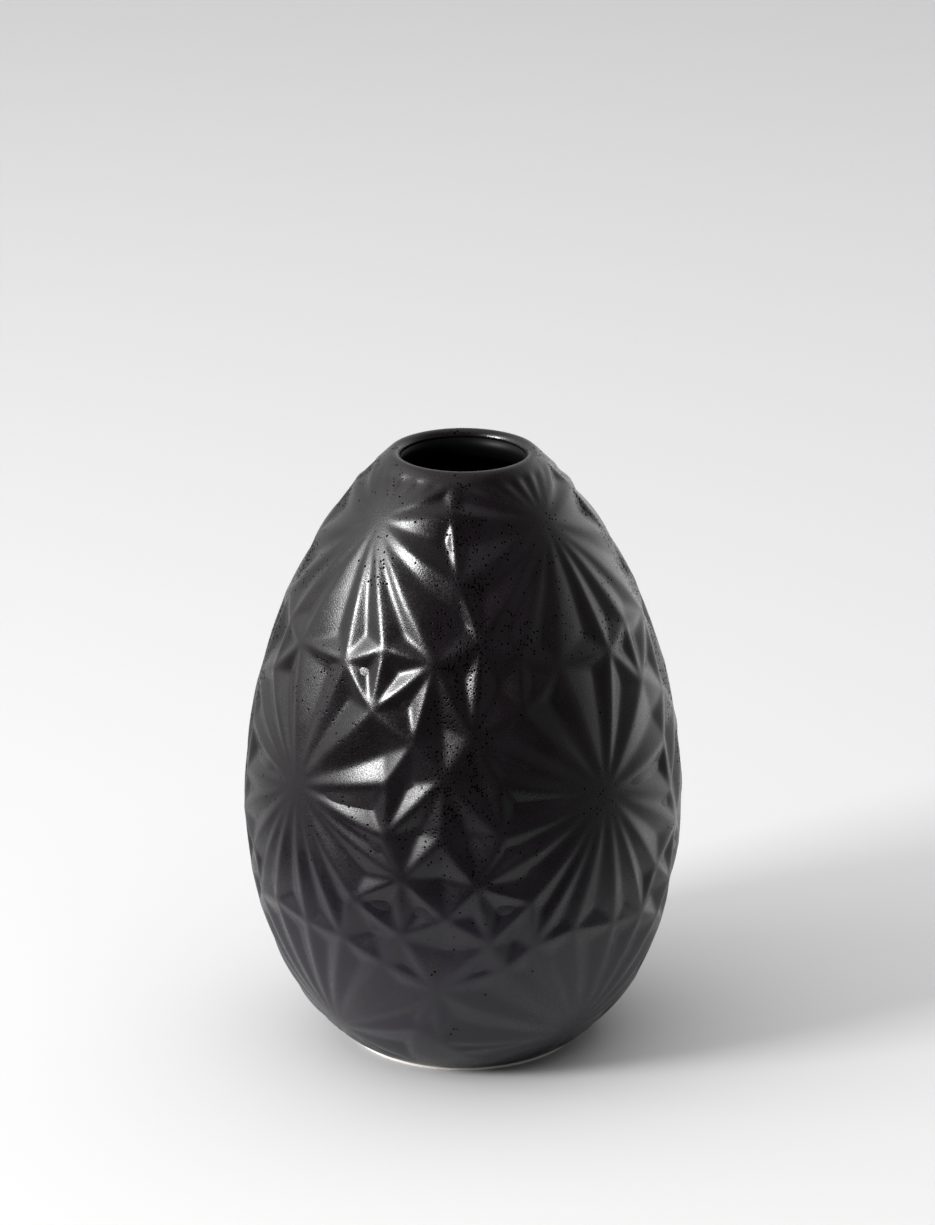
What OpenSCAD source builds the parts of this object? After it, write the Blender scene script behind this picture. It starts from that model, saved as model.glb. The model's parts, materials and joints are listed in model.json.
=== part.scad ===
// Stoneware pottery vase with carved stars: one fired clay pot, bare at the foot, glazed outside and inside.
// Millimetres, +Z up. The origin is the centre of the foot on the table. The front is -Y.

/* [Vase] */
// Height from the table to the top of the lip
vase_height = 200; // [190:5:210]
// Widest diameter, over the glaze
belly_diameter = 141.6; // [136:0.4:148]
// Clear diameter of the mouth, inside the glaze
mouth_diameter = 40; // [38:0.5:42]

/* [Clay] */
// Thickness of the clay wall
wall_thickness = 5; // [4.5:0.5:6]
// Width of the ring that the vase stands on
foot_ring_width = 6; // [5:0.5:8]
// Height of the ring that the vase stands on
foot_ring_height = 3; // [2.5:0.5:4]
// Thickness of the clay floor above the ring
floor_thickness = 5.5; // [5:0.5:7]

/* [Glaze] */
// Thickness of both coats of glaze
glaze_thickness = 0.5; // [0.4:0.1:0.6]
// Height of the bare clay band between the table and the outer glaze
bare_band = 1; // [0.8:0.1:1.4]

/* [Carving] */
// How far the ridges stand out of the round body
ridge_height = 0.6; // [0.4:0.1:0.8]
// How far the grooves of the stars are cut into the round body
groove_depth = 1.8; // [1:0.1:2]
// How far the small facets between the stars are cut in
pit_depth = 1.7; // [1:0.1:2]
// Turn of the upper stars about the vase, against the stars below them, in degrees
upper_star_lean = 5; // [3:0.5:7]

/* [Part] */

/* [Hidden] */
$fn = 96;

clay_colour = [0.80, 0.74, 0.66];
glaze_colour = [0.12, 0.12, 0.13];

belly_radius = belly_diameter / 2;
belly_height = 0.42 * vase_height;
mouth_radius = mouth_diameter / 2;

// Reach of the outline below and above the belly, and how square each half is
lower_reach = 0.45 * vase_height;
lower_power = 1.9;
lower_root = 3.1;
upper_reach = 0.639 * vase_height;
upper_power = 1.8;
upper_root = 1.65;

// The carving runs from just above the foot to just below the smooth collar
carving_bottom = 2.5;
carving_top = 97.5;
columns = 4;
// A groove between rays closer together than this angle is cut less deep
full_spread = 20;
// Share of the depth left for the grooves that run out at a plain edge
plain_edge_share = 0.8;
// Depth of a sunk facet for each millimetre from its middle to its nearest edge
pit_steepness = 0.65;
column_angle = 360 / columns;
// The middle of the front falls between two columns of stars
first_column = -51;

// The smooth collar and the hem at the foot step in a little from the carved surface
plain_inset = 0.5;
lip_round = 2.4;
lip_centre = [mouth_radius + lip_round, vase_height - lip_round];
lip_start_angle = 50;
collar_step = 1;
cavity_depth = glaze_thickness + wall_thickness;
cavity_floor = foot_ring_height + floor_thickness;
cavity_top = vase_height - 12;
throat_bottom = vase_height - 8.5;
outline_step = 4;

// ---- The round body ----

// Radius of the round body at a height, with the surface moved inwards by inset
function body_radius(z, inset = 0) =
    let (reach = z < belly_height ? lower_reach : upper_reach)
    let (power = z < belly_height ? lower_power : upper_power)
    let (root = z < belly_height ? lower_root : upper_root)
    let (way = abs(z - belly_height) / (reach - inset))
    (belly_radius - inset) * pow(1 - pow(way, power), 1 / root);

function height_of(percent) = percent / 100 * vase_height;

// Outline points of the round body between two heights
function outline(low, high, step, inset) =
    [for (i = [0 : 1 : ceil((high - low) / step)])
        let (z = min(high, low + i * step))
        [body_radius(z, inset), z]];

// Outline of the collar and the rounded lip, from the carving to the inside of the mouth
function lip_outline(inset) = concat(
    outline(height_of(carving_top), vase_height - 2, collar_step, inset + plain_inset),
    [for (angle = [lip_start_angle : 13 : 180])
        lip_centre + (lip_round - inset) * [cos(angle), sin(angle)]]
);

// Outline of the space inside the clay, or inside the liner when inset is larger
function cavity_outline(inset, throat_radius) = concat(
    [[0, cavity_floor + inset - cavity_depth]],
    outline(cavity_floor + inset - cavity_depth, cavity_top, outline_step, inset),
    [[throat_radius, throat_bottom], [throat_radius, lip_centre[1]], [0, lip_centre[1]]]
);

// ---- The carving: points are [degrees from a column of stars, percent of the height, relief] ----

function ridge(degrees, percent) = [degrees, percent, ridge_height];
function plain(degrees, percent) = [degrees, percent, 0];

// The same point of the pattern in the next column of stars, and in the last one
function on_next(p) = [p[0] + column_angle, p[1], p[2]];
function on_last(p) = [p[0] - column_angle, p[1], p[2]];

upper_star = plain(upper_star_lean, 92.3);
middle_star = plain(1.5, 51.8);
lower_star = plain(2, 7.6);

// Where the ridges of the stars end, right of a column, from the top down
collar = ridge(44.5, 96.3);
shoulder = ridge(45.5, 94.3);
gable = ridge(49.5, 85.6);
kite_far = ridge(42.3, 74.4);
kite_top = ridge(25, 75.7);
kite_near = ridge(11.9, 72.8);
kite_foot = ridge(24.1, 66.3);
corner = ridge(37.4, 62.2);
waist = ridge(30.2, 55.4);
hip = ridge(30.4, 47);
diamond_middle = ridge(46, 57.1);
diamond_low = ridge(45.4, 47.4);
low_corner = ridge(35.2, 40.3);
low_top = ridge(21.7, 35.4);
lozenge_foot = ridge(46.5, 33.5);
low_far = ridge(34.5, 30);
low_foot = ridge(28.7, 24.6);
belly = ridge(43.6, 20.1);
toe = ridge(36, 11.8);
heel = ridge(43.5, 9);

// Above and below the middle star
tip = ridge(5.9, 72.7);
hem_right = ridge(17, 27.9);
hem_middle = ridge(4.8, 28.6);
hem_left = ridge(-8.8, 29.6);
hem_far_left = ridge(-20.5, 27.7);

// Left of a column, from the top down
left_far = ridge(-33.1, 77.3);
left_top = ridge(-21, 74.7);
left_near = ridge(-8.4, 73);
left_foot = ridge(-21.8, 66.6);
left_corner = ridge(-36.5, 63.4);
left_waist = ridge(-29.7, 56.3);
left_hip = ridge(-28.7, 47.7);
left_low_corner = ridge(-35.4, 39.4);
left_low_top = ridge(-21.2, 36.1);
left_low_far = ridge(-32, 29);
left_low_foot = ridge(-27.5, 24);
left_toe = ridge(-40.8, 6.9);

// Edge of the carving over and under a column, and half-way to the next one
top_edge = [for (degrees = [-30 : 15 : 30]) plain(degrees, carving_top)];
bottom_edge = [for (degrees = [30 : -15 : -30]) plain(degrees, carving_bottom)];
top_between = plain(45, carving_top);
bottom_between = plain(45, carving_bottom);

// Rings of ridge ends round the stars, clockwise
upper_ring = concat(top_edge, [collar, shoulder, gable, kite_far, kite_top, kite_near, left_near,
    left_top, left_far, on_last(gable), on_last(shoulder), on_last(collar), top_edge[0]]);
middle_ring = [waist, hip, low_corner, low_top, hem_right, hem_middle, hem_left, hem_far_left,
    left_low_top, left_low_corner, left_hip, left_waist, left_corner, left_foot, left_near,
    kite_near, kite_foot, waist];
lower_ring = concat([hem_right, low_foot, belly, toe], bottom_edge, [left_toe, on_last(heel),
    on_last(belly), left_low_foot, hem_far_left, hem_left, hem_middle, hem_right]);

// Small sunk facets between the stars, clockwise
pits = [
    [kite_near, kite_top, kite_foot],
    [kite_top, kite_far, kite_foot],
    [kite_foot, kite_far, corner],
    [kite_far, on_next(left_corner), diamond_middle, corner],
    [kite_far, on_next(left_far), on_next(left_corner)],
    [left_far, left_top, left_foot, left_corner],
    [left_top, left_near, left_foot],
    [corner, diamond_middle, hip, waist],
    [diamond_middle, diamond_low, low_corner, hip],
    [diamond_middle, on_next(left_corner), on_next(left_waist), on_next(left_hip)],
    [diamond_middle, on_next(left_hip), on_next(left_low_corner), diamond_low],
    [diamond_low, on_next(left_low_corner), lozenge_foot, low_corner],
    [low_corner, lozenge_foot, low_far],
    [low_top, low_corner, low_far],
    [low_top, low_far, low_foot, hem_right],
    [on_next(left_low_corner), on_next(left_low_far), lozenge_foot],
    [left_low_corner, left_low_top, left_low_far],
    [left_low_top, hem_far_left, left_low_foot, left_low_far],
    [lozenge_foot, on_next(left_low_far), belly, low_far],
    [low_far, belly, low_foot],
    [on_next(left_low_far), on_next(left_low_foot), belly],
    [belly, heel, toe]
];

// Flat corners between the stars and the edges of the carving
corners = [
    [top_edge[4], top_between, collar],
    [top_between, on_next(top_edge[0]), collar],
    [toe, heel, bottom_edge[0]],
    [heel, bottom_between, bottom_edge[0]],
    [heel, on_next(left_toe), bottom_between],
    [on_next(left_toe), on_next(bottom_edge[4]), bottom_between]
];

function mix(a, b, t) = a + t * (b - a);

// The place of a pattern point on the round body
function spot(p) =
    let (z = height_of(p[1]))
    [body_radius(z) * sin(p[0]), -body_radius(z) * cos(p[0]), z];

// The pattern point over a straight line between two others
function along(a, b, t) =
    let (place = mix(spot(a), spot(b), t))
    [atan2(place[0], -place[1]), place[2] / vase_height * 100, mix(a[2], b[2], t)];

// A pattern point on the surface laid flat, in millimetres
function flat(p) = [p[0] * body_radius(height_of(p[1])) * PI / 180, height_of(p[1])];

// Angle between two rays of a star
function angle_between(u, v) = acos(u * v / (norm(u) * norm(v)));
function spread(centre, a, b) = angle_between(flat(a) - flat(centre), flat(b) - flat(centre));

// Depth of the groove between two ridges: less between close ones and towards the plain edges
function depth_between(centre, a, b) =
    let (lift = (a[2] + b[2]) / (2 * ridge_height))
    groove_depth * mix(plain_edge_share, 1, lift) * min(1, spread(centre, a, b) / full_spread);

// The two slopes from the ridges down into a groove that widens outwards
function slopes(centre, a, b, groove) =
    let (left = [for (t = [0.38, 0.72, 1]) along(centre, a, t)])
    let (right = [for (t = [0.38, 0.72, 1]) along(centre, b, t)])
    concat(
        [[centre, left[0], groove[0]], [centre, groove[0], right[0]]],
        [for (i = [0, 1]) each [
            [left[i], left[i + 1], groove[i + 1]],
            [left[i], groove[i + 1], groove[i]],
            [groove[i], groove[i + 1], right[i + 1]],
            [groove[i], right[i + 1], right[i]]
        ]]
    );

// The far end of the groove between two ridges, and the points where it deepens towards it
function groove_end(centre, a, b, aim) = [aim[0], aim[1], -depth_between(centre, a, b)];
function groove_points(centre, end, reach) = [for (t = [0.42, 0.77, 1]) along(centre, end, reach * t)];

// A plain ray of a star: one facet ends its groove short of the ring
function plain_ray(centre, a, b) =
    let (groove = groove_points(centre, groove_end(centre, a, b, along(a, b, 0.5)), 0.86))
    concat(slopes(centre, a, b, groove), [[groove[2], a, b]]);

// A long ray: its groove runs on towards a point beyond the ring, and two facets end it
function long_ray(centre, a, b, beyond, reach) =
    let (groove = groove_points(centre, groove_end(centre, a, b, beyond), reach))
    concat(slopes(centre, a, b, groove), [[groove[2], a, beyond], [groove[2], beyond, b]]);

// Each long ray is told by the ridge end it starts from, and brings its point and reach
upper_long_rays = [[gable, on_next(left_far), 0.85], [kite_near, tip, 0.84]];
middle_long_rays = [[kite_foot, corner, 0.75], [left_near, tip, 0.9]];

function star(centre, ring, long_rays) =
    [for (i = [0 : len(ring) - 2])
        let (found = [for (long = long_rays) if (long[0] == ring[i]) long])
        each len(found) == 0
            ? plain_ray(centre, ring[i], ring[i + 1])
            : long_ray(centre, ring[i], ring[i + 1], found[0][1], found[0][2])];

// Distance from the middle of a sunk facet to one of its edges
function edge_distance(middle, a, b) =
    let (u = flat(a) - flat(middle))
    let (v = flat(b) - flat(middle))
    abs(u[0] * v[1] - u[1] * v[0]) / norm(v - u);

function average(ring) = [for (k = [0, 1]) [for (p = ring) p[k]] * [for (p = ring) 1] / len(ring)];

function pit(ring) =
    let (middle = average(ring))
    let (last = len(ring) - 1)
    let (room = min([for (i = [0 : last]) edge_distance(middle, ring[i], ring[(i + 1) % len(ring)])]))
    let (centre = [middle[0], middle[1], ridge_height - min(pit_depth + ridge_height, pit_steepness * room)])
    [for (i = [0 : last]) [centre, ring[i], ring[(i + 1) % len(ring)]]];

// Triangles of one column and of the facets on its right
column_facets = concat(
    star(upper_star, upper_ring, upper_long_rays),
    star(middle_star, middle_ring, middle_long_rays),
    star(lower_star, lower_ring, []),
    [for (ring = pits) each pit(ring)],
    corners
);

// A pattern point in space, on the surface moved inwards by inset
function placed(p, turn, inset) =
    let (z = height_of(p[1]))
    let (r = body_radius(z, inset) + p[2])
    let (angle = p[0] + turn)
    [r * sin(angle), -r * cos(angle), z];

function carved_facets(inset) =
    [for (k = [0 : columns - 1]) each
        [for (facet = column_facets) [for (p = facet) placed(p, first_column + k * column_angle, inset)]]];

// The edge of the carving at its top or bottom, all the way round
whole_top_edge = concat(top_edge, [top_between]);
whole_bottom_edge = concat(reversed(bottom_edge), [bottom_between]);

function edge_loop(edge, inset) =
    [for (k = [0 : columns - 1]) each
        [for (p = edge) placed(p, first_column + k * column_angle, inset)]];

// Triangles that close the edge of the outer surface to the edge of the inner one
function rim(outer, inner) =
    [for (i = [0 : len(outer) - 1])
        let (j = (i + 1) % len(outer))
        each [[outer[i], inner[i], outer[j]], [outer[j], inner[i], inner[j]]]];

function cap(loop) =
    let (centre = [0, 0, loop[0][2]])
    [for (i = [0 : len(loop) - 1]) [centre, loop[i], loop[(i + 1) % len(loop)]]];

function reversed(list) = [for (i = [len(list) - 1 : -1 : 0]) list[i]];
function turned_over(facets) = [for (facet = facets) reversed(facet)];

module closed_surface(facets) {
    polyhedron(
        points = [for (facet = facets) each facet],
        faces = [for (i = [0 : len(facets) - 1]) [3 * i, 3 * i + 1, 3 * i + 2]],
        convexity = 10
    );
}

// The carved part of the body as one solid
module carved_solid(inset) {
    closed_surface(concat(
        carved_facets(inset),
        turned_over(cap(edge_loop(whole_top_edge, inset))),
        cap(edge_loop(whole_bottom_edge, inset))
    ));
}

// The carved part of a coat that lies on the body
module carved_coat(inset) {
    closed_surface(concat(
        carved_facets(0),
        turned_over(carved_facets(inset)),
        turned_over(rim(edge_loop(whole_top_edge, 0), edge_loop(whole_top_edge, inset))),
        rim(edge_loop(whole_bottom_edge, 0), edge_loop(whole_bottom_edge, inset))
    ));
}

// ---- Sub-parts ----

// The fired clay pot: wall, floor, collar and lip
module stoneware_body() {
    neck = lip_outline(glaze_thickness);
    base = outline(foot_ring_height, height_of(carving_bottom), 1, glaze_thickness + plain_inset);
    color(clay_colour)
    difference() {
        union() {
            carved_solid(glaze_thickness);
            rotate_extrude()
                polygon(concat([[0, neck[0][1]]], neck, [[0, lip_centre[1]]]));
            rotate_extrude()
                polygon(concat([[0, foot_ring_height]], base, [[0, height_of(carving_bottom)]]));
        }
        rotate_extrude()
            polygon(cavity_outline(cavity_depth, mouth_radius + glaze_thickness));
    }
}

// The bare clay ring that the vase stands on: upright up to the edge of the dark coat, then under it
module foot_ring() {
    outer_radius = outline(bare_band, foot_ring_height, 1, plain_inset)[0][0];
    inner_radius = outer_radius - foot_ring_width;
    under_coat = outline(bare_band, foot_ring_height, 1, glaze_thickness + plain_inset);
    color(clay_colour)
    rotate_extrude()
        polygon(concat([[inner_radius, 0], [outer_radius, 0], [outer_radius, bare_band]],
            under_coat, [[inner_radius, foot_ring_height]]));
}

// The dark coat over the outside, from the bare band at the foot up over the lip
module outer_glaze() {
    hem_top = height_of(carving_bottom);
    hem_outside = outline(bare_band, hem_top, 1, plain_inset);
    hem_inside = outline(bare_band, hem_top, 1, plain_inset + glaze_thickness);
    color(glaze_colour)
    union() {
        carved_coat(glaze_thickness);
        rotate_extrude()
            polygon(concat(lip_outline(0), reversed(lip_outline(glaze_thickness))));
        rotate_extrude()
            polygon(concat(hem_outside, reversed(hem_inside)));
    }
}

// The coat inside, from the floor up to the lip
module inner_glaze() {
    color(glaze_colour)
    difference() {
        rotate_extrude()
            polygon(cavity_outline(cavity_depth, mouth_radius + glaze_thickness));
        rotate_extrude()
            polygon(cavity_outline(cavity_depth + glaze_thickness, mouth_radius));
    }
}

stoneware_body();
foot_ring();
outer_glaze();
inner_glaze();
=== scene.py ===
"""Looks of the carved stoneware vase: softened relief, satin black glaze, bare clay foot."""
import json
import math

import bpy
import numpy as np
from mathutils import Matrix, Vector


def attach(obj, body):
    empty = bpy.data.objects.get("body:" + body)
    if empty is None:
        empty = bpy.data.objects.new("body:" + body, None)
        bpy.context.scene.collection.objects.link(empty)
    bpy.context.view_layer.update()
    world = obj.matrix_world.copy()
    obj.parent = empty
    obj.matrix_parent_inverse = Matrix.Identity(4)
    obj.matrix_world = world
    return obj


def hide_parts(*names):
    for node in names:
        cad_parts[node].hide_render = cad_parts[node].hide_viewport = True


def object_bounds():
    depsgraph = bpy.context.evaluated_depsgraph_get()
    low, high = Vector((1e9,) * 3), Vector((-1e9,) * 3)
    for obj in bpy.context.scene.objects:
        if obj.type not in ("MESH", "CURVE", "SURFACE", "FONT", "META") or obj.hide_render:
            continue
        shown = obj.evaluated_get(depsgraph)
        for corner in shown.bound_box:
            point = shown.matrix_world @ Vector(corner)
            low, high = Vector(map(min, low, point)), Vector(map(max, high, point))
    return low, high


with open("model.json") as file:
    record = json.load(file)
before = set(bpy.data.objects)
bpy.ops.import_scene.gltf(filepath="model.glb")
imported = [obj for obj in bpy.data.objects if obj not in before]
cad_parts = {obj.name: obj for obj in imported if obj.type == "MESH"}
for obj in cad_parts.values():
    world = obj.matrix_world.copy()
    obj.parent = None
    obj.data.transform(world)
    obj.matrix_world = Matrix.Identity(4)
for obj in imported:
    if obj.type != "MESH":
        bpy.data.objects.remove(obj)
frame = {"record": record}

CAD_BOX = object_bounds()
MM = 0.001

# ---- Sizes from the frame, in millimetres ----

HEIGHT = CAD_BOX[1][2] / MM
MOUTH_RADIUS = next(m for m in frame["record"]["mounts"] if m["name"] == "mouth")["dims"]["r_mm"]

# The round body: its widest place, how far it reaches below and above that, and the powers that bend it
BELLY_RADIUS = 70.8
BELLY_HEIGHT = 0.42 * HEIGHT
LOWER_REACH, LOWER_POWER, LOWER_ROOT = 0.45 * HEIGHT, 1.9, 3.1
UPPER_REACH, UPPER_POWER, UPPER_ROOT = 0.639 * HEIGHT, 1.8, 1.65

# The coats, the clay under them and the space inside
GLAZE = 0.5
WALL = 5.0
CAVITY_DEPTH = GLAZE + WALL
CAVITY_TOP = HEIGHT - 12
THROAT_BOTTOM = HEIGHT - 8.5
FLOOR_THICKNESS = 5.5

# The bare foot
BARE_BAND = 1.0
FOOT_RING_WIDTH = 6.0
FOOT_RING_HEIGHT = 3.0
FOOT_RING_ROUND = 0.3

# The rounded lip: where the side hands over to it, and the angle at which its arc starts
SHOULDER_TOP = HEIGHT - 1.2
LIP_ROUND = 2.4
LIP_CENTRE = (MOUTH_RADIUS + LIP_ROUND, HEIGHT - LIP_ROUND)
LIP_START = 48

# The carving repeats in columns of stars; angles run from the front, -Y, towards +X
COLUMNS = 4
COLUMN_ANGLE = 360 / COLUMNS
FIRST_COLUMN = -51.0

# ---- Relief, in millimetres: ridges stand out, grooves and pits go in ----

RIDGE = 0.9
GROOVE = 2.2
PIT = 2.3
SOFTNESS = 0.9

# Drop from a pit's edge to its middle, for each millimetre between them
PIT_STEEPNESS = 0.5
BRIGHT_PIT_STEEPNESS = 0.75

# Degrees between two ridges that give a groove its full depth, and the share left beside a plain edge
FULL_SPREAD = 28.0
PLAIN_EDGE_SHARE = 0.65

# How far along a ray its facets break, so that they follow the round body, and where its groove ends
RIDGE_BREAKS = (0.38, 0.72, 1)
GROOVE_BREAKS = (0.42, 0.77, 1)
GROOVE_REACH = 0.86

# ---- Mesh steps: points round, millimetres along an outline, and one row in so many under a coat ----

ROUND_STEPS = 640
QUARTER_STEPS = ROUND_STEPS // COLUMNS
ROW_STEP = 0.85
LINING_STEP = 3.0
FOOT_STEP = 0.25
COAT_INSIDE_EVERY = 8
CLAY_EVERY = 2


def body_radius(z, inset=0.0):
    """Radius of the round body at a height, with the surface moved inwards by inset."""
    z = np.asarray(z, dtype=float)
    below = z < BELLY_HEIGHT
    reach = np.where(below, LOWER_REACH, UPPER_REACH) - inset
    power = np.where(below, LOWER_POWER, UPPER_POWER)
    root = np.where(below, LOWER_ROOT, UPPER_ROOT)
    way = np.abs(z - BELLY_HEIGHT) / reach
    return (BELLY_RADIUS - inset) * (1 - way ** power) ** (1 / root)


# ---- The carving: points are (degrees from a column of stars, percent of the height, relief) ----

def ridge(degrees, percent, lift=1.0):
    """A pattern point on a ridge."""
    return (degrees, percent, RIDGE * lift)


def plain(degrees, percent):
    """A pattern point level with the round body."""
    return (degrees, percent, 0.0)


def on_next(p):
    """The same point on the next column of stars."""
    return (p[0] + COLUMN_ANGLE, p[1], p[2])


def on_last(p):
    """The same point on the column of stars before."""
    return (p[0] - COLUMN_ANGLE, p[1], p[2])


CARVING_BOTTOM, CARVING_TOP = 2.5, 98.8

UPPER_STAR = plain(5, 92.8)
MIDDLE_STAR = plain(1.5, 51.8)
LOWER_STAR = plain(2, 7.6)

# Right of a column, from the top down
COLLAR = ridge(44.5, CARVING_TOP, 0.5)
SHOULDER = ridge(45.5, 95)
GABLE = ridge(49.5, 85.6)
KITE_FAR = ridge(42.3, 74.4)
KITE_TOP = ridge(25, 75.7)
KITE_NEAR = ridge(11.9, 72.8)
KITE_FOOT = ridge(24.1, 66.3)
CORNER = ridge(37.4, 62.2)
WAIST = ridge(30.2, 55.4)
HIP = ridge(30.4, 47)
DIAMOND_MIDDLE = ridge(46, 57.1)
DIAMOND_LOW = ridge(45.4, 47.4)
LOW_CORNER = ridge(35.2, 40.3)
LOW_TOP = ridge(21.7, 35.4)
LOZENGE_FOOT = ridge(46.5, 33.5)
LOW_FAR = ridge(34.5, 30)
LOW_FOOT = ridge(28.7, 24.6)
BELLY = ridge(43.6, 20.1)
TOE = ridge(36, 11.8)
HEEL = ridge(43.5, 9)

# Under and over the middle star
TIP = ridge(5.9, 72.7)
HEM_RIGHT = ridge(17, 27.9)
HEM_MIDDLE = ridge(4.8, 28.6)
HEM_LEFT = ridge(-8.8, 29.6)
HEM_FAR_LEFT = ridge(-20.5, 27.7)

# Left of a column, from the top down
LEFT_FAR = ridge(-33.1, 77.3)
LEFT_TOP = ridge(-21, 74.7)
LEFT_NEAR = ridge(-8.4, 73)
LEFT_FOOT = ridge(-21.8, 66.6)
LEFT_CORNER = ridge(-36.5, 63.4)
LEFT_WAIST = ridge(-29.7, 56.3)
LEFT_HIP = ridge(-28.7, 47.7)
LEFT_LOW_CORNER = ridge(-35.4, 39.4)
LEFT_LOW_TOP = ridge(-21.2, 36.1)
LEFT_LOW_FAR = ridge(-32, 29)
LEFT_LOW_FOOT = ridge(-27.5, 24)
LEFT_TOE = ridge(-40.8, 6.9)

TOP_EDGE = [plain(degrees, CARVING_TOP) for degrees in (-30, -15, 0, 15, 30)]
BOTTOM_EDGE = [plain(degrees, CARVING_BOTTOM) for degrees in (30, 15, 0, -15, -30)]
BOTTOM_BETWEEN = plain(45, CARVING_BOTTOM)

# Rings of ridge ends round the stars, clockwise
UPPER_RING = TOP_EDGE + [COLLAR, SHOULDER, GABLE, KITE_FAR, KITE_TOP, KITE_NEAR, LEFT_NEAR, LEFT_TOP,
                         LEFT_FAR, on_last(GABLE), on_last(SHOULDER), on_last(COLLAR), TOP_EDGE[0]]
MIDDLE_RING = [WAIST, HIP, LOW_CORNER, LOW_TOP, HEM_RIGHT, HEM_MIDDLE, HEM_LEFT, HEM_FAR_LEFT, LEFT_LOW_TOP,
               LEFT_LOW_CORNER, LEFT_HIP, LEFT_WAIST, LEFT_CORNER, LEFT_FOOT, LEFT_NEAR, KITE_NEAR,
               KITE_FOOT, WAIST]
LOWER_RING = [HEM_RIGHT, LOW_FOOT, BELLY, TOE] + BOTTOM_EDGE + [
    LEFT_TOE, on_last(HEEL), on_last(BELLY), LEFT_LOW_FOOT, HEM_FAR_LEFT, HEM_LEFT, HEM_MIDDLE, HEM_RIGHT]

# Small sunk facets between the stars, clockwise
PITS = [
    [KITE_NEAR, KITE_TOP, KITE_FOOT],
    [KITE_TOP, KITE_FAR, KITE_FOOT],
    [KITE_FOOT, KITE_FAR, CORNER],
    [LEFT_FAR, LEFT_TOP, LEFT_FOOT, LEFT_CORNER],
    [LEFT_TOP, LEFT_NEAR, LEFT_FOOT],
    [CORNER, DIAMOND_MIDDLE, HIP, WAIST],
    [DIAMOND_MIDDLE, DIAMOND_LOW, LOW_CORNER, HIP],
    [on_next(LEFT_CORNER), on_next(LEFT_WAIST), on_next(LEFT_HIP), DIAMOND_MIDDLE],
    [DIAMOND_MIDDLE, on_next(LEFT_HIP), on_next(LEFT_LOW_CORNER), DIAMOND_LOW],
    [DIAMOND_LOW, on_next(LEFT_LOW_CORNER), LOZENGE_FOOT, LOW_CORNER],
    [LOW_CORNER, LOZENGE_FOOT, LOW_FAR],
    [LOW_TOP, LOW_CORNER, LOW_FAR],
    [LOW_TOP, LOW_FAR, LOW_FOOT, HEM_RIGHT],
    [on_next(LEFT_LOW_CORNER), on_next(LEFT_LOW_FAR), LOZENGE_FOOT],
    [LEFT_LOW_CORNER, LEFT_LOW_TOP, LEFT_LOW_FAR],
    [LEFT_LOW_TOP, HEM_FAR_LEFT, LEFT_LOW_FOOT, LEFT_LOW_FAR],
    [LOZENGE_FOOT, on_next(LEFT_LOW_FAR), BELLY, LOW_FAR],
    [LOW_FAR, BELLY, LOW_FOOT],
    [on_next(LEFT_LOW_FAR), on_next(LEFT_LOW_FOOT), BELLY],
    [BELLY, HEEL, TOE],
]

# Steeper ones, which catch the window's light beside the dark middle of the front
BRIGHT_PITS = [
    [KITE_FAR, on_next(LEFT_CORNER), DIAMOND_MIDDLE, CORNER],
    [KITE_FAR, on_next(LEFT_FAR), on_next(LEFT_CORNER)],
]

# Flat corners between the lower stars and the bottom edge of the carving
CORNERS = [
    (TOE, HEEL, BOTTOM_EDGE[0]),
    (HEEL, BOTTOM_BETWEEN, BOTTOM_EDGE[0]),
    (HEEL, on_next(LEFT_TOE), BOTTOM_BETWEEN),
    (on_next(LEFT_TOE), on_next(BOTTOM_EDGE[4]), BOTTOM_BETWEEN),
]


def spot(p):
    """The place of a pattern point on the round body."""
    z = p[1] * HEIGHT / 100
    r = float(body_radius(z))
    angle = math.radians(p[0])
    return np.array([r * math.sin(angle), -r * math.cos(angle), z])


def along(a, b, t):
    """The pattern point over a straight line between two others."""
    x, y, z = spot(a) + t * (spot(b) - spot(a))
    return (math.degrees(math.atan2(x, -y)), z / HEIGHT * 100, a[2] + t * (b[2] - a[2]))


def flat(p):
    """A pattern point on the surface laid flat, in millimetres."""
    z = p[1] * HEIGHT / 100
    return np.array([math.radians(p[0]) * float(body_radius(z)), z])


def spread(centre, a, b):
    """Angle between two rays of a star, in degrees."""
    u, v = flat(a) - flat(centre), flat(b) - flat(centre)
    return math.degrees(math.acos(u @ v / np.linalg.norm(u) / np.linalg.norm(v)))


def ray(centre, a, b, beyond, reach):
    """Two slopes into a groove that widens outwards, and the facet that ends it short of the ring.

    The groove of a long ray runs on towards a point beyond the ring, and two facets end it.
    """
    lift = PLAIN_EDGE_SHARE + (1 - PLAIN_EDGE_SHARE) * (a[2] + b[2]) / (2 * RIDGE)
    depth = GROOVE * lift * min(1.0, spread(centre, a, b) / FULL_SPREAD)
    aim = beyond or along(a, b, 0.5)
    end = (aim[0], aim[1], -depth)
    left = [along(centre, a, t) for t in RIDGE_BREAKS]
    right = [along(centre, b, t) for t in RIDGE_BREAKS]
    groove = [along(centre, end, reach * t) for t in GROOVE_BREAKS]
    facets = [(centre, left[0], groove[0]), (centre, groove[0], right[0])]
    facets += [(groove[2], a, beyond), (groove[2], beyond, b)] if beyond else [(groove[2], a, b)]
    for i in (0, 1):
        facets += [(left[i], left[i + 1], groove[i + 1]), (left[i], groove[i + 1], groove[i]),
                   (groove[i], groove[i + 1], right[i + 1]), (groove[i], right[i + 1], right[i])]
    return facets


def star(centre, ring, long_rays):
    """All rays of a star; long_rays gives the point beyond and the reach, by a ray's first ridge end."""
    facets = []
    for a, b in zip(ring, ring[1:]):
        beyond, reach = long_rays.get(a, (None, GROOVE_REACH))
        facets += ray(centre, a, b, beyond, reach)
    return facets


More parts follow.
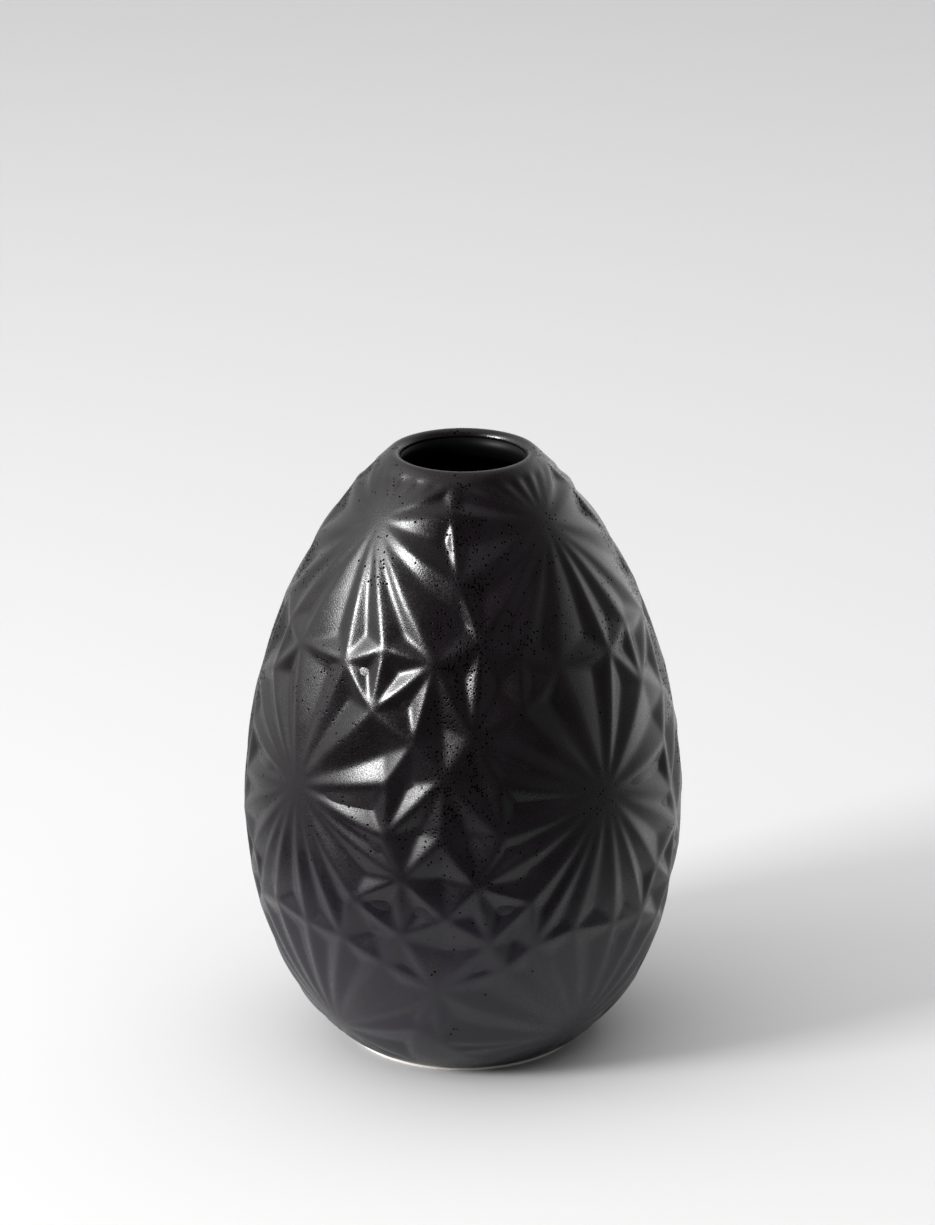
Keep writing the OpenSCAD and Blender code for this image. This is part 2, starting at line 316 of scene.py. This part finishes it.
def room_inside(ring, centre):
    """Distance from a sunk facet's centre to its nearest edge, in millimetres."""
    c = flat(centre)
    distances = []
    for p, q in zip(ring, ring[1:] + ring[:1]):
        (px, py), (qx, qy) = flat(p) - c, flat(q) - c
        distances.append(abs(px * qy - py * qx) / math.hypot(qx - px, qy - py))
    return min(distances)


def pit(ring, steepness):
    """The facets from a ring of ridge ends down to a sunk middle."""
    centre = tuple(sum(p[k] for p in ring) / len(ring) for k in (0, 1))
    sink = min(PIT, steepness * room_inside(ring, centre) - RIDGE)
    return [((*centre, -sink), a, b) for a, b in zip(ring, ring[1:] + ring[:1])]


def column_facets():
    """All facets of one column, as triangles of pattern points."""
    facets = star(UPPER_STAR, UPPER_RING, {GABLE: (on_next(LEFT_FAR), 0.85), KITE_NEAR: (TIP, 0.84)})
    facets += star(MIDDLE_STAR, MIDDLE_RING, {KITE_FOOT: (CORNER, 0.75), LEFT_NEAR: (TIP, 0.9)})
    facets += star(LOWER_STAR, LOWER_RING, {})
    for ring in PITS:
        facets += pit(ring, PIT_STEEPNESS)
    for ring in BRIGHT_PITS:
        facets += pit(ring, BRIGHT_PIT_STEEPNESS)
    return facets + CORNERS


def relief_grid(heights):
    """Relief of one quarter, sharp, on rows at the given heights and even steps of angle."""
    grid = np.zeros((len(heights), QUARTER_STEPS))
    percent = heights / HEIGHT * 100
    step = COLUMN_ANGLE / QUARTER_STEPS
    for a, b, c in column_facets():
        rows = np.nonzero((percent >= min(a[1], b[1], c[1])) & (percent <= max(a[1], b[1], c[1])))[0]
        area = (b[0] - a[0]) * (c[1] - a[1]) - (c[0] - a[0]) * (b[1] - a[1])
        if not len(rows) or abs(area) < 1e-9:
            continue
        columns = np.arange(math.floor(min(a[0], b[0], c[0]) / step),
                            math.ceil(max(a[0], b[0], c[0]) / step) + 1)
        u, v = np.meshgrid(columns * step, percent[rows])
        share_b = ((u - a[0]) * (c[1] - a[1]) - (c[0] - a[0]) * (v - a[1])) / area
        share_c = ((b[0] - a[0]) * (v - a[1]) - (u - a[0]) * (b[1] - a[1])) / area
        inside = (share_b >= -1e-6) & (share_c >= -1e-6) & (share_b + share_c <= 1 + 1e-6)
        values = a[2] + share_b * (b[2] - a[2]) + share_c * (c[2] - a[2])
        r, k = np.nonzero(inside)
        grid[rows[r], columns[k] % QUARTER_STEPS] = values[r, k]
    return grid


def softened(grid, radii):
    """The relief with every ridge and groove rounded over about a millimetre, round the vase and upwards."""
    waves = np.arange(QUARTER_STEPS // 2 + 1) * COLUMNS
    spectrum = np.fft.rfft(grid, axis=1)
    spectrum *= np.exp(-0.5 * (waves[None, :] * (SOFTNESS / np.maximum(radii, 1))[:, None]) ** 2)
    out = np.fft.irfft(spectrum, n=QUARTER_STEPS, axis=1)
    reach = math.ceil(3 * SOFTNESS / ROW_STEP)
    kernel = np.exp(-0.5 * (np.arange(-reach, reach + 1) * ROW_STEP / SOFTNESS) ** 2)
    kernel /= kernel.sum()
    padded = np.pad(out, ((reach, reach), (0, 0)), mode="edge")
    return sum(weight * padded[i:i + len(out)] for i, weight in enumerate(kernel))


# ---- Outlines of the turned shapes: rows of (radius, height) ----

def even_steps(points, step):
    """Points at even distances along a polyline."""
    points = np.array(points)
    lengths = np.concatenate([[0], np.cumsum(np.linalg.norm(np.diff(points, axis=0), axis=1))])
    count = max(2, round(lengths[-1] / step))
    want = np.linspace(0, lengths[-1], count + 1)
    return np.column_stack([np.interp(want, lengths, points[:, k]) for k in (0, 1)])


def arc(centre, radius, start, end, steps):
    """Points round an arc, between two angles in degrees."""
    angles = np.radians(np.linspace(start, end, steps))
    return [(centre[0] + radius * math.cos(t), centre[1] + radius * math.sin(t)) for t in angles]


def coat_inside(rows):
    """The outline under a coat, at the coat's thickness from its outside."""
    along_rows = np.gradient(rows, axis=0)
    along_rows /= np.linalg.norm(along_rows, axis=1)[:, None]
    return rows + GLAZE * np.column_stack([-along_rows[:, 1], along_rows[:, 0]])


def body_outline(low, high, inset, steps=400):
    """The side of the round body between two heights."""
    z = np.linspace(low, high, steps)
    return list(zip(body_radius(z, inset), z))


def carved_outside():
    """Rows of the carved outside and the lip, and the relief on each."""
    lip = arc(LIP_CENTRE, LIP_ROUND, LIP_START, 180, 16)
    rows = even_steps(body_outline(BARE_BAND, SHOULDER_TOP, 0) + lip, ROW_STEP)
    sharp = relief_grid(rows[:, 1])
    inside_the_lip = np.argmax(rows[:, 1])
    sharp[inside_the_lip:] = 0
    return rows, np.tile(softened(sharp, rows[:, 0]), (1, COLUMNS))


def cavity_outline(depth, throat_radius):
    """The space inside at a depth under the glazed outside, from the floor's centre up to the lip."""
    floor = FOOT_RING_HEIGHT + FLOOR_THICKNESS + depth - CAVITY_DEPTH
    wall = body_outline(floor, CAVITY_TOP, depth, 120)
    throat = [(throat_radius, THROAT_BOTTOM), (throat_radius, LIP_CENTRE[1])]
    return even_steps([(0, floor)] + wall + throat, LINING_STEP)


# ---- Meshes ----

def add_mesh(name, points, faces):
    """A new smooth-shaded object from points and faces."""
    mesh = bpy.data.meshes.new(name)
    mesh.from_pydata(points, [], faces)
    mesh.update()
    mesh.polygons.foreach_set("use_smooth", np.ones(len(faces), dtype=bool))
    piece = bpy.data.objects.new(name, mesh)
    bpy.context.collection.objects.link(piece)
    return piece


def turned(name, radii, heights, closes):
    """A skin through rings of points, closed by joining the last ring to the first or by two poles."""
    count, steps = radii.shape
    angle = np.radians(FIRST_COLUMN + np.arange(steps) * 360 / steps)
    z = np.broadcast_to(heights[:, None], radii.shape)
    points = np.stack([radii * np.sin(angle), -radii * np.cos(angle), z], axis=2).reshape(-1, 3) * MM
    ring = np.arange(steps)
    after = (ring + 1) % steps
    bands = range(count) if closes == "ring" else range(count - 1)
    faces = [(i * steps + a, i * steps + b, (i + 1) % count * steps + b, (i + 1) % count * steps + a)
             for i in bands for a, b in zip(ring.tolist(), after.tolist())]
    points = points.tolist()
    if closes == "poles":
        low, high = len(points), len(points) + 1
        points += [(0, 0, heights[0] * MM), (0, 0, heights[-1] * MM)]
        last = (count - 1) * steps
        faces += [(low, b, a) for a, b in zip(ring.tolist(), after.tolist())]
        faces += [(high, last + a, last + b) for a, b in zip(ring.tolist(), after.tolist())]
    return add_mesh(name, points, faces)


def even_ring(outline, steps):
    """The radii of an outline, the same all the way round."""
    return np.repeat(outline[:, :1], steps, axis=1)


def glaze_coat():
    """The carved black coat, half a millimetre thick, from the bare band to the inside of the lip."""
    rows, relief = carved_outside()
    under = coat_inside(rows)
    hidden = np.append(np.arange(0, len(rows) - 1, COAT_INSIDE_EVERY), len(rows) - 1)[::-1]
    radii = np.vstack([rows[:, :1] + relief, under[hidden, :1] + relief[hidden]])
    heights = np.concatenate([rows[:, 1], under[hidden, 1]])
    return turned("black_glaze", radii, heights, "ring")


def clay_pot():
    """The fired clay under both coats: carved wall, collar, lip, cavity and floor."""
    rows, relief = carved_outside()
    rows = coat_inside(rows)[::CLAY_EVERY]
    relief = relief[::CLAY_EVERY, ::CLAY_EVERY]
    above_ring = rows[:, 1] > FOOT_RING_HEIGHT
    rows, relief = rows[above_ring], relief[above_ring]
    outside = rows[:, :1] + relief
    inside = cavity_outline(CAVITY_DEPTH, MOUTH_RADIUS + GLAZE)[:0:-1]
    start = body_radius(FOOT_RING_HEIGHT, GLAZE)
    steps = outside.shape[1]
    under = even_ring(np.array([[0.5 * start, 0], [start, 0]]), steps)
    radii = np.vstack([under, outside, even_ring(inside, steps)])
    heights = np.concatenate([[FOOT_RING_HEIGHT, FOOT_RING_HEIGHT], rows[:, 1], inside[:, 1]])
    return turned("fired_clay_pot", radii, heights, "poles")


def black_liner():
    """The smooth black coat inside, from the centre of the floor up to the lip and back under it."""
    shown = cavity_outline(CAVITY_DEPTH + GLAZE, MOUTH_RADIUS)[1:]
    hidden = cavity_outline(CAVITY_DEPTH, MOUTH_RADIUS + GLAZE)[:0:-1]
    outline = np.vstack([shown, hidden])[::-1]
    return turned("black_liner", even_ring(outline, QUARTER_STEPS), outline[:, 1], "poles")


def bare_foot():
    """The sanded ring that the vase stands on: upright to the coat's edge, then under it."""
    outer = float(body_radius(BARE_BAND))
    inner = outer - FOOT_RING_WIDTH
    r = FOOT_RING_ROUND
    outline = arc((outer - r, r), r, -90, 0, 4) + [(outer, BARE_BAND)]
    outline += body_outline(BARE_BAND, FOOT_RING_HEIGHT, GLAZE, 8) + [(inner, FOOT_RING_HEIGHT)]
    outline += arc((inner + r, r), r, 180, 270, 4)
    outline = even_steps(outline + outline[:1], FOOT_STEP)[:-1]
    return turned("bare_foot_ring", even_ring(outline, ROUND_STEPS // 2), outline[:, 1], "ring")


# ---- Materials: texture scales are in cells per metre ----

# Texture of the outer glaze
GRAIN_SCALE, CLOUD_SCALE, PATCH_SCALE, CLUMP_SCALE, HOLE_SCALE = 1900.0, 55.0, 42.0, 130.0, 1000.0
# Painted shade inside the pin-holes: near black, darker than the glaze round them
HOLE_PAINTED_SHADE_COLOUR = (0.0008, 0.0008, 0.0008)

# Where the band of pin-holes lies, as a share of the way from one column of stars to the next
HOLE_BAND = 0.56


def new_material(name):
    """A material with its node tree and its shader."""
    material = bpy.data.materials.new(name)
    material.use_nodes = True
    tree = material.node_tree
    return material, tree, tree.nodes["Principled BSDF"]


def add(tree, kind, **values):
    """A new node, with its sockets or settings given by name."""
    node = tree.nodes.new(kind)
    for key, value in values.items():
        if key in node.inputs:
            node.inputs[key].default_value = value
        else:
            setattr(node, key, value)
    return node


def texture(tree, kind, place, **values):
    """A texture node at a place."""
    node = add(tree, kind, **values)
    tree.links.new(place, node.inputs["Vector"])
    return node


def split_xyz(tree, place):
    """The three coordinates of a place."""
    node = add(tree, "ShaderNodeSeparateXYZ")
    tree.links.new(place, node.inputs[0])
    return node.outputs["X"], node.outputs["Y"], node.outputs["Z"]


def ramp(tree, value, low, high, out_low, out_high):
    """A soft step of a value between two levels."""
    node = add(tree, "ShaderNodeMapRange", interpolation_type="SMOOTHSTEP")
    for name, number in (("From Min", low), ("From Max", high), ("To Min", out_low), ("To Max", out_high)):
        node.inputs[name].default_value = number
    tree.links.new(value, node.inputs["Value"])
    return node.outputs["Result"]


def rising(tree, z, low, high, out_low, out_high):
    """A soft step between two heights, each a share of the vase's height."""
    return ramp(tree, z, low * HEIGHT * MM, high * HEIGHT * MM, out_low, out_high)


def math_node(tree, operation, *values):
    """One sum on sockets or plain numbers."""
    node = add(tree, "ShaderNodeMath", operation=operation)
    for socket, value in zip(node.inputs, values):
        if isinstance(value, (int, float)):
            socket.default_value = value
        else:
            tree.links.new(value, socket)
    return node.outputs[0]


def total(tree, *values):
    """The sum of several sockets."""
    out = values[0]
    for value in values[1:]:
        out = math_node(tree, "ADD", out, value)
    return out


def blend(tree, share, first, second):
    """A colour between two others, each a socket or a plain colour."""
    node = add(tree, "ShaderNodeMix", data_type="RGBA")
    tree.links.new(share, node.inputs["Factor"])
    for name, colour in (("A", first), ("B", second)):
        socket = next(s for s in node.inputs if s.name == name and s.type == "RGBA")
        if isinstance(colour, tuple):
            socket.default_value = (*colour, 1)
        else:
            tree.links.new(colour, socket)
    return next(s for s in node.outputs if s.type == "RGBA")


def bump(tree, height, strength, distance):
    """The surface's normal over a height."""
    node = add(tree, "ShaderNodeBump", Strength=strength, Distance=distance)
    tree.links.new(height, node.inputs["Height"])
    return node.outputs["Normal"]


def open_pits(tree, place):
    """Pin-holes in the glaze: thick in upright bands between the columns of stars, and few low down."""
    x, y, z = split_xyz(tree, place)
    turn = math_node(tree, "ARCTAN2", x, math_node(tree, "MULTIPLY", y, -1.0))
    middle = math.radians(FIRST_COLUMN + HOLE_BAND * COLUMN_ANGLE)
    away = math_node(tree, "SUBTRACT", turn, middle)
    wave = math_node(tree, "COSINE", math_node(tree, "MULTIPLY", away, float(COLUMNS)))
    band = ramp(tree, wave, 0.65, 1.0, 0.0, 1.0)
    upper = rising(tree, z, 0.35, 0.55, 0.03, 1.0)
    patches = texture(tree, "ShaderNodeTexNoise", place, Scale=PATCH_SCALE, Detail=2.0).outputs["Fac"]
    clumps = texture(tree, "ShaderNodeTexNoise", place, Scale=CLUMP_SCALE, Detail=2.0).outputs["Fac"]
    thick = math_node(tree, "MULTIPLY", band, ramp(tree, clumps, 0.4, 0.6, 0.15, 0.9))
    share = math_node(tree, "MULTIPLY", upper, total(tree, thick, ramp(tree, patches, 0.5, 0.7, 0.0, 0.3)))
    cells = texture(tree, "ShaderNodeTexVoronoi", place, Scale=HOLE_SCALE)
    colour_split = add(tree, "ShaderNodeSeparateColor")
    tree.links.new(cells.outputs["Color"], colour_split.inputs[0])
    chosen = math_node(tree, "LESS_THAN", colour_split.outputs[0], share)
    dot = ramp(tree, cells.outputs["Distance"], 0.25, 0.5, 1.0, 0.0)
    return math_node(tree, "MULTIPLY", chosen, dot)


def glaze_material():
    """Satin black glaze: cloudy gloss, fine grain and pin-holes, duller low on the body and lighter there
    with painted floor reflection.
    """
    material, tree, shader = new_material("satin_black_glaze")
    place = add(tree, "ShaderNodeTexCoord").outputs["Object"]
    grain = texture(tree, "ShaderNodeTexNoise", place,
                    Scale=GRAIN_SCALE, Detail=2.0, Roughness=0.6).outputs["Fac"]
    cloud = texture(tree, "ShaderNodeTexNoise", place,
                    Scale=CLOUD_SCALE, Detail=4.0, Roughness=0.55).outputs["Fac"]
    z = split_xyz(tree, place)[2]
    # Painted reflection: a lighter, bluer base colour low on the body for the bright floor; the faint purple
    # tint all over is the glaze's own
    high = rising(tree, z, 0.15, 0.55, 0.0, 1.0)
    dull = rising(tree, z, 0.4, 0.7, 0.1, 0.0)
    deep = blend(tree, high, (0.0054, 0.0033, 0.0078), (0.0032, 0.0020, 0.0028))
    light = blend(tree, high, (0.0084, 0.0059, 0.0115), (0.0050, 0.0034, 0.0047))
    body = blend(tree, ramp(tree, cloud, 0.35, 0.7, 0.0, 1.0), deep, light)
    holes = open_pits(tree, place)
    tree.links.new(blend(tree, holes, body, HOLE_PAINTED_SHADE_COLOUR), shader.inputs["Base Color"])
    # Painted shade: each hole is near black and a black metal, which reflects nothing, so it stays dark
    # inside a highlight too
    tree.links.new(holes, shader.inputs["Metallic"])
    rough = total(tree, ramp(tree, grain, 0.3, 0.7, 0.17, 0.33), ramp(tree, cloud, 0.3, 0.7, -0.04, 0.07),
                  dull, math_node(tree, "MULTIPLY", holes, 0.35))
    tree.links.new(rough, shader.inputs["Roughness"])
    shader.inputs["Specular IOR Level"].default_value = 0.46
    height = math_node(tree, "SUBTRACT", math_node(tree, "MULTIPLY", grain, 0.5),
                       math_node(tree, "MULTIPLY", holes, 0.5))
    tree.links.new(bump(tree, height, 0.9, 0.0001), shader.inputs["Normal"])
    return material


def painted_shade_liner_material():
    """The same black glaze inside, smooth and duller, with a darker base colour and weaker shine: painted
    shade of the dark inside.
    """
    material, tree, shader = new_material("inner_black_glaze_painted_shade")
    place = add(tree, "ShaderNodeTexCoord").outputs["Object"]
    cloud = texture(tree, "ShaderNodeTexNoise", place, Scale=90.0, Detail=3.0).outputs["Fac"]
    # Painted shade: a darker base colour than the outer glaze's, for the shade deep in the cavity
    colour = blend(tree, cloud, (0.0008, 0.0007, 0.0009), (0.0018, 0.0016, 0.0020))
    tree.links.new(colour, shader.inputs["Base Color"])
    shader.inputs["Roughness"].default_value = 0.45
    shader.inputs["Specular IOR Level"].default_value = 0.12
    tree.links.new(bump(tree, cloud, 0.3, 0.0002), shader.inputs["Normal"])
    return material


def clay_material():
    """Pale fired clay: sandy grain, darker specks and faint warm clouds."""
    material, tree, shader = new_material("bare_fired_clay")
    place = add(tree, "ShaderNodeTexCoord").outputs["Object"]
    cloud = texture(tree, "ShaderNodeTexNoise", place, Scale=70.0, Detail=4.0).outputs["Fac"]
    sand = texture(tree, "ShaderNodeTexNoise", place, Scale=2400.0, Detail=3.0).outputs["Fac"]
    speck = texture(tree, "ShaderNodeTexVoronoi", place, Scale=700.0).outputs["Distance"]
    base = blend(tree, cloud, (0.76, 0.72, 0.66), (0.86, 0.83, 0.78))
    specked = blend(tree, ramp(tree, speck, 0.05, 0.14, 1.0, 0.0), base, (0.42, 0.34, 0.27))
    tree.links.new(specked, shader.inputs["Base Color"])
    shader.inputs["Roughness"].default_value = 0.85
    tree.links.new(bump(tree, sand, 0.5, 0.00015), shader.inputs["Normal"])
    return material


def finish_piece(piece, node, material):
    """Give a piece its material and its body, and hide the CAD node it stands for."""
    piece.data.materials.append(material)
    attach(piece, "root")
    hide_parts(node)


CLAY = clay_material()
finish_piece(glaze_coat(), "outer_glaze", glaze_material())
finish_piece(black_liner(), "inner_glaze", painted_shade_liner_material())
finish_piece(clay_pot(), "stoneware_body", CLAY)
finish_piece(bare_foot(), "foot_ring", CLAY)


# ---- Stage, camera and lights ----

MIDDLE = Vector((0, 0, 0.5 * HEIGHT * MM))
TABLE_RADIUS, FLOOR_RADIUS = 0.17, 6.0
CAMERA_DISTANCE, CAMERA_LENS = 1.7, 153.5
CAMERA_ELEVATION, CAMERA_LIFT, CAMERA_TURN = 21.34, 1.42, -0.05

# Strength of the room's light from each side
ROOM_FRONT, ROOM_BACK, ROOM_LEFT, ROOM_RIGHT = 0.07, 0.66, 0.42, 0.15
ROOM_HIGH_LEFT, ROOM_BACK_RIGHT, ROOM_CEILING = 1.0, 0.55, 0.4


def make_floor():
    """A pale table top round the vase and a wide floor beyond it, which the glaze does not mirror."""
    material, tree, shader = new_material("pale_floor")
    shader.inputs["Base Color"].default_value = (0.49, 0.49, 0.49, 1)
    shader.inputs["Roughness"].default_value = 0.8
    steps = 96
    angles = np.arange(steps) * 2 * math.pi / steps
    near, far = ([(r * math.cos(t), r * math.sin(t), 0) for t in angles]
                 for r in (TABLE_RADIUS, FLOOR_RADIUS))
    table = add_mesh("table_top", near, [list(range(steps))])
    beyond = add_mesh("floor_beyond", near + far,
                      [(i, steps + i, steps + (i + 1) % steps, (i + 1) % steps) for i in range(steps)])
    beyond.visible_glossy = False
    for floor in (table, beyond):
        floor.data.materials.append(material)


def make_camera():
    """A long lens that looks down on the vase and aims a little above its middle."""
    data = bpy.data.cameras.new("camera")
    data.sensor_width = 36
    data.lens = CAMERA_LENS
    camera = bpy.data.objects.new("camera", data)
    bpy.context.collection.objects.link(camera)
    elevation = math.radians(CAMERA_ELEVATION)
    direction = Vector((0, -math.cos(elevation), math.sin(elevation)))
    camera.location = MIDDLE + CAMERA_DISTANCE * direction
    tilt = 90 - CAMERA_ELEVATION + CAMERA_LIFT
    camera.rotation_euler = (math.radians(tilt), 0, math.radians(CAMERA_TURN))
    bpy.context.scene.camera = camera


def make_area(name, direction, distance, size, power):
    """A softbox that faces the vase's middle from a direction; metres and watts."""
    data = bpy.data.lights.new(name, "AREA")
    data.shape = "RECTANGLE"
    data.size, data.size_y = size
    data.energy = power
    light = bpy.data.objects.new(name, data)
    bpy.context.collection.objects.link(light)
    direction = Vector(direction).normalized()
    light.location = MIDDLE + direction * distance
    light.rotation_euler = direction.to_track_quat("Z", "Y").to_euler()
    return light


def make_world():
    """A pale room: bright behind and on the window's side, dark towards the camera."""
    world = bpy.data.worlds.new("studio")
    world.use_nodes = True
    tree = world.node_tree
    background = tree.nodes["Background"]
    background.inputs["Color"].default_value = (1, 1, 1, 1)
    x, y, z = split_xyz(tree, add(tree, "ShaderNodeTexCoord").outputs["Generated"])
    # Least on the window's side and high up
    left = total(tree, x, math_node(tree, "MULTIPLY", z, -0.6))
    strength = total(tree, ramp(tree, y, -0.2, 0.8, ROOM_FRONT, ROOM_BACK),
                     ramp(tree, total(tree, x, y), 1.05, 1.35, 0.0, ROOM_BACK_RIGHT),
                     ramp(tree, z, 0.9, 1.0, 0.0, ROOM_CEILING),
                     ramp(tree, left, -1.15, -0.95, ROOM_HIGH_LEFT, 0.0),
                     ramp(tree, left, -1.05, -0.6, ROOM_LEFT, 0.0),
                     ramp(tree, x, 0.4, 0.95, 0.0, ROOM_RIGHT))
    tree.links.new(strength, background.inputs["Strength"])
    bpy.context.scene.world = world


make_floor()
make_camera()
make_area("window", direction=(-0.79, -0.43, 0.44), distance=2.4, size=(0.6, 0.6), power=70)
make_area("window_glow", direction=(-0.83, -0.15, 0.54), distance=2.4, size=(0.9, 0.5), power=13)
overhead = make_area("overhead", direction=(0, -0.1, 1), distance=2.0, size=(3.2, 3.2), power=56)
overhead.visible_glossy = False
make_world()
bpy.context.scene.view_settings.view_transform = "Standard"
